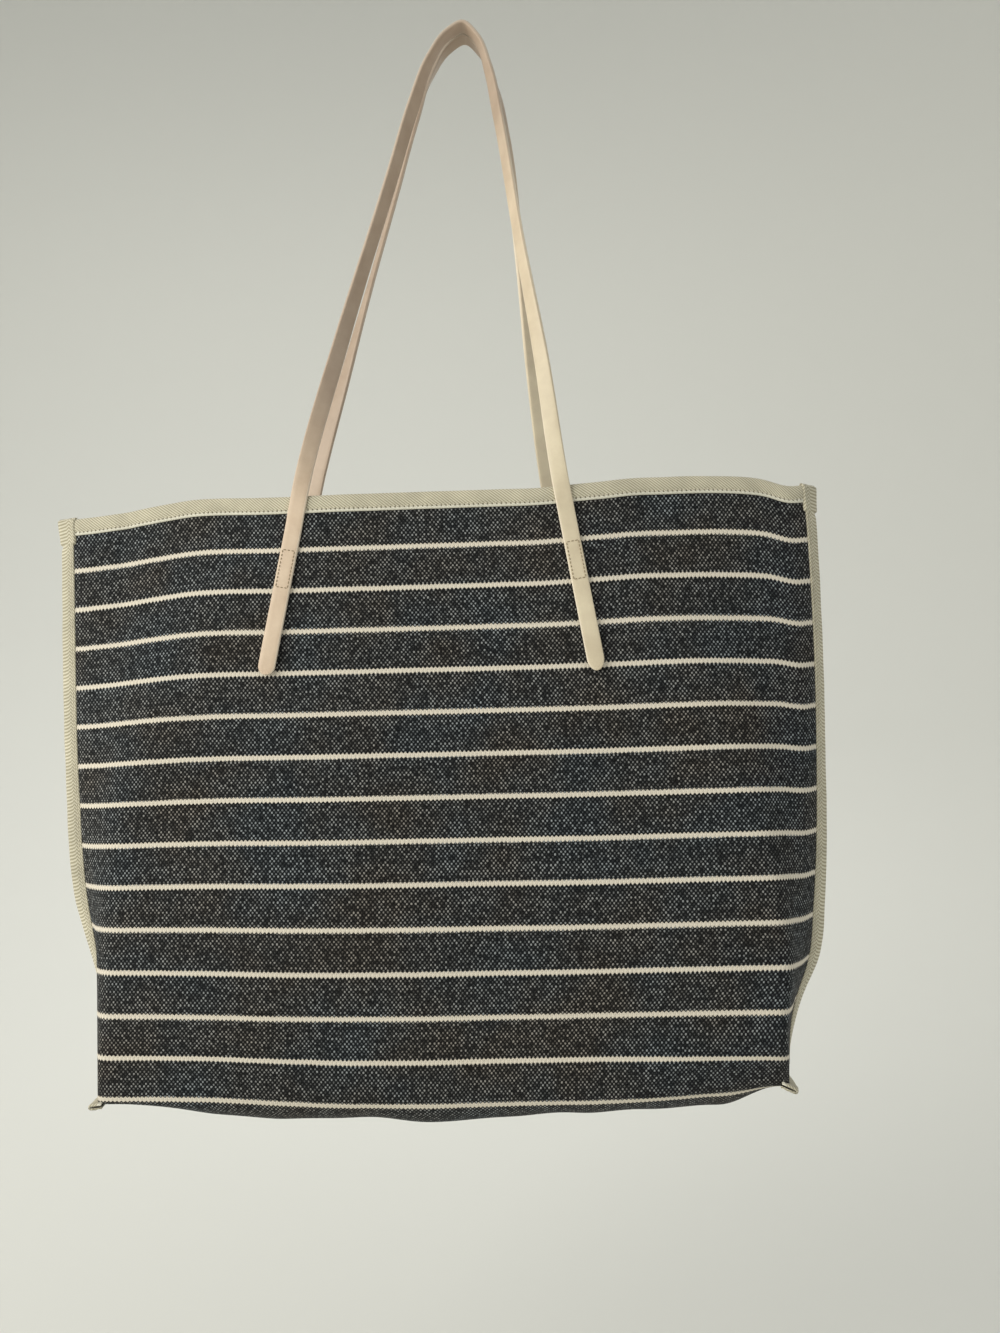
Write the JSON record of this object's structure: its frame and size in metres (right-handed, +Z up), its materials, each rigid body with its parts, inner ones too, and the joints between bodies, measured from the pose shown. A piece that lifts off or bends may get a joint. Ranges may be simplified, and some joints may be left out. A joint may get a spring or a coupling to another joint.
{
  "type": "beach bag",
  "caption": "Wide flat canvas beach bag with boxed bottom corners, taped seams and slim leather shoulder handles, hanging from its handles.",
  "frame": {"origin": "bottom centre of the hanging bag: lowest point of the sagging base, midway between the side seams and between the panels", "axes": "+Z up, +X along the bag's width, -Y out of the front panel"},
  "size_m": [0.587, 0.078, 0.8356],
  "materials": {
    "canvas": "plain weave, dark with pale stripes",
    "cotton_tape": "twill weave, unbleached",
    "strap_leather": "smooth vegetable-tanned, satin",
    "handle_thread": "waxed thread",
    "tape_thread": "matte cotton thread"
  },
  "bodies": {
    "bag": {"canvas_body": "canvas", "side_seam_tape_left": "cotton_tape", "side_seam_tape_right": "cotton_tape", "corner_tape_left": "cotton_tape", "corner_tape_right": "cotton_tape", "top_binding_front": "cotton_tape", "top_binding_back": "cotton_tape", "handle_ends_front": "strap_leather", "handle_ends_back": "strap_leather", "handle_box_thread_front": "handle_thread", "handle_box_thread_back": "handle_thread", "binding_thread_front": "tape_thread", "binding_thread_back": "tape_thread", "side_seam_thread_left": "tape_thread", "side_seam_thread_right": "tape_thread"},
    "front_handle": {"handle_front": "strap_leather"},
    "back_handle": {"handle_back": "strap_leather"}
  },
  "joints": [
    {"name": "front_handle_swing", "type": "hinge", "parent": "bag", "child": "front_handle", "pos_m": [0, -0.0332, 0.461], "axis": [1, 0, 0], "range_deg": [0, 165]},
    {"name": "back_handle_swing", "type": "hinge", "parent": "bag", "child": "back_handle", "pos_m": [0, 0.0332, 0.461], "axis": [-1, 0, 0], "range_deg": [0, 165]}
  ]
}
